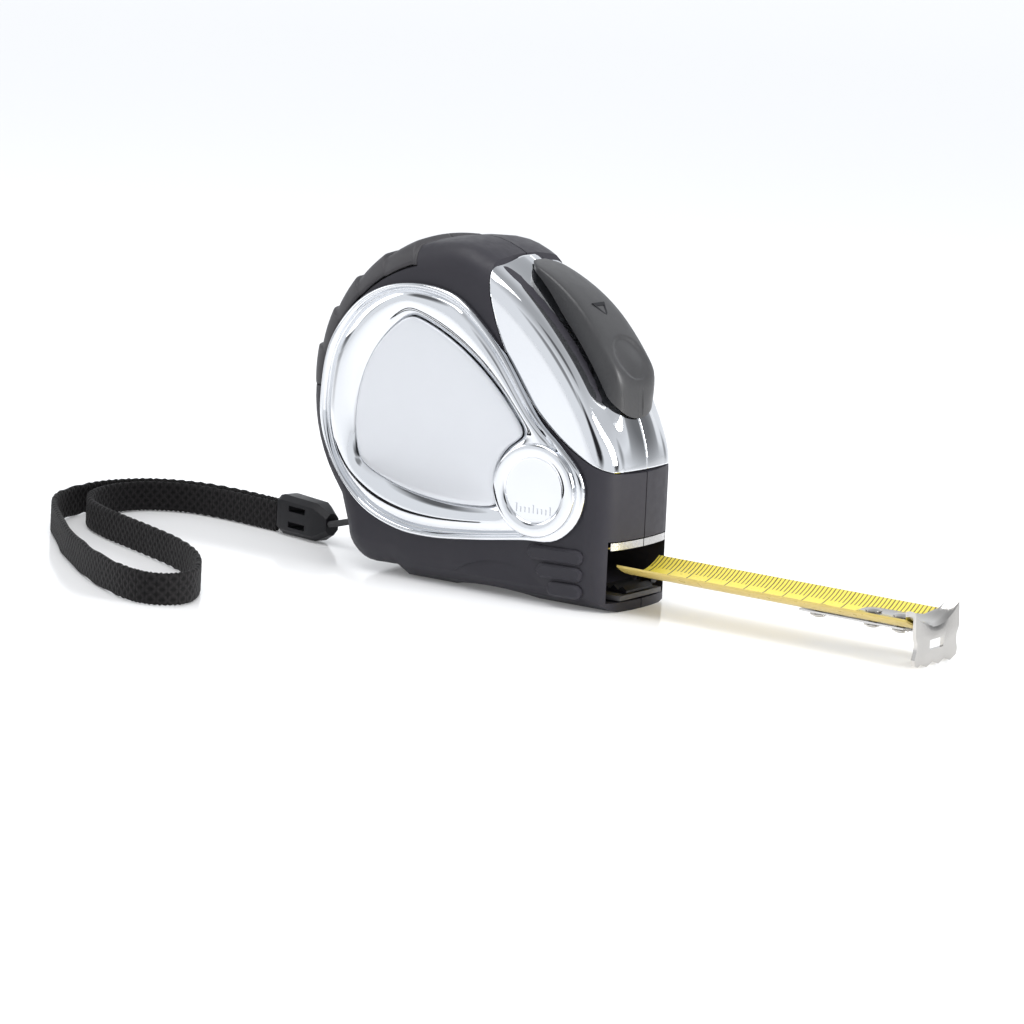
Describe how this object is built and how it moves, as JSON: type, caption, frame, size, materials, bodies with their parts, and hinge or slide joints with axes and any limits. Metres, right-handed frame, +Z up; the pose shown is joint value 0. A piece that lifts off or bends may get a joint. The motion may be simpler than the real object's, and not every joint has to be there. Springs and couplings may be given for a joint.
{
  "type": "tape measure",
  "caption": "Pocket tape measure with a two-part charcoal case, chromed covers and side plates, thumb lock, pulled-out yellow blade with end hook, and a wrist strap.",
  "frame": {"origin": "on the floor, under the middle of the case and pulled-out blade together, in the case's middle plane", "axes": "+X the way the blade is pulled, +Y towards the right side of the case, +Z up; it stands on its feet"},
  "size_m": [0.2274, 0.1061, 0.0792],
  "materials": {
    "shell_plastic": "matte moulded charcoal",
    "grip_rubber": "matte, soft touch",
    "chrome": "mirror bright",
    "panel_grey": "satin silver",
    "slider_plastic": "fine satin",
    "inner_plastic": "plain moulded",
    "black_plastic": "satin",
    "steel": "plain rolled",
    "nickel": "nickel plated, bright",
    "blade_paint": "yellow lacquer",
    "webbing": "woven"
  },
  "bodies": {
    "case": {"left_shell": "shell_plastic", "right_shell": "shell_plastic", "left_shroud": "chrome", "right_shroud": "chrome", "left_grip": "grip_rubber", "right_grip": "grip_rubber", "left_side_plate": "chrome", "right_side_plate": "chrome", "left_face_panel": "panel_grey", "right_face_panel": "panel_grey", "left_badge": "chrome", "right_badge": "chrome", "left_mouth_bar": "steel", "right_mouth_bar": "steel", "mouth_plate": "inner_plastic", "blade_guide": "black_plastic", "hook_bumper": "black_plastic", "case_screw_front": "steel", "case_screw_rear": "steel", "case_screw_top": "steel", "axle_post": "inner_plastic", "power_spring": "steel", "blade_lead": "blade_paint", "brake_pin": "steel", "brake_spring": "steel", "strap_pin": "steel", "strap_link": "webbing", "strap_clip": "black_plastic", "wrist_strap": "webbing"},
    "reel": {"reel_drum": "inner_plastic", "reel_cover": "inner_plastic", "tape_coil": "blade_paint"},
    "blade": {"blade": "blade_paint", "blade_end_strip": "steel", "strip_rivet": "nickel", "hook_rivet_front": "nickel", "hook_rivet_rear": "nickel"},
    "hook": {"end_hook": "nickel"},
    "lock": {"lock_slider": "slider_plastic", "slider_carrier": "inner_plastic"},
    "brake": {"brake_lever": "black_plastic"}
  },
  "joints": [
    {"name": "blade_slide", "type": "slide", "parent": "case", "child": "blade", "axis": [1, 0, 0], "range_m": [-0.066, 0]},
    {"name": "reel_spin", "type": "hinge", "parent": "case", "child": "reel", "pos_m": [-0.04146, 0, 0.03997], "axis": [0, 1, 0], "range_deg": [0, 172]},
    {"name": "hook_float", "type": "slide", "parent": "blade", "child": "hook", "axis": [1, 0, 0], "range_m": [-0.0004, 0.0004]},
    {"name": "lock_slide", "type": "hinge", "parent": "case", "child": "lock", "pos_m": [-0.07276, 0, 0.00415], "axis": [0, 1, 0], "range_deg": [0, 2.8]},
    {"name": "brake_swing", "type": "hinge", "parent": "case", "child": "brake", "pos_m": [-0.00878, 0, 0.03221], "axis": [0, 1, 0], "range_deg": [0, 8]}
  ],
  "couplings": [
    {"joint": "reel_spin", "follows": "blade_slide", "rad_per_m": -45.455},
    {"joint": "brake_swing", "follows": "lock_slide", "ratio": 2.857}
  ]
}
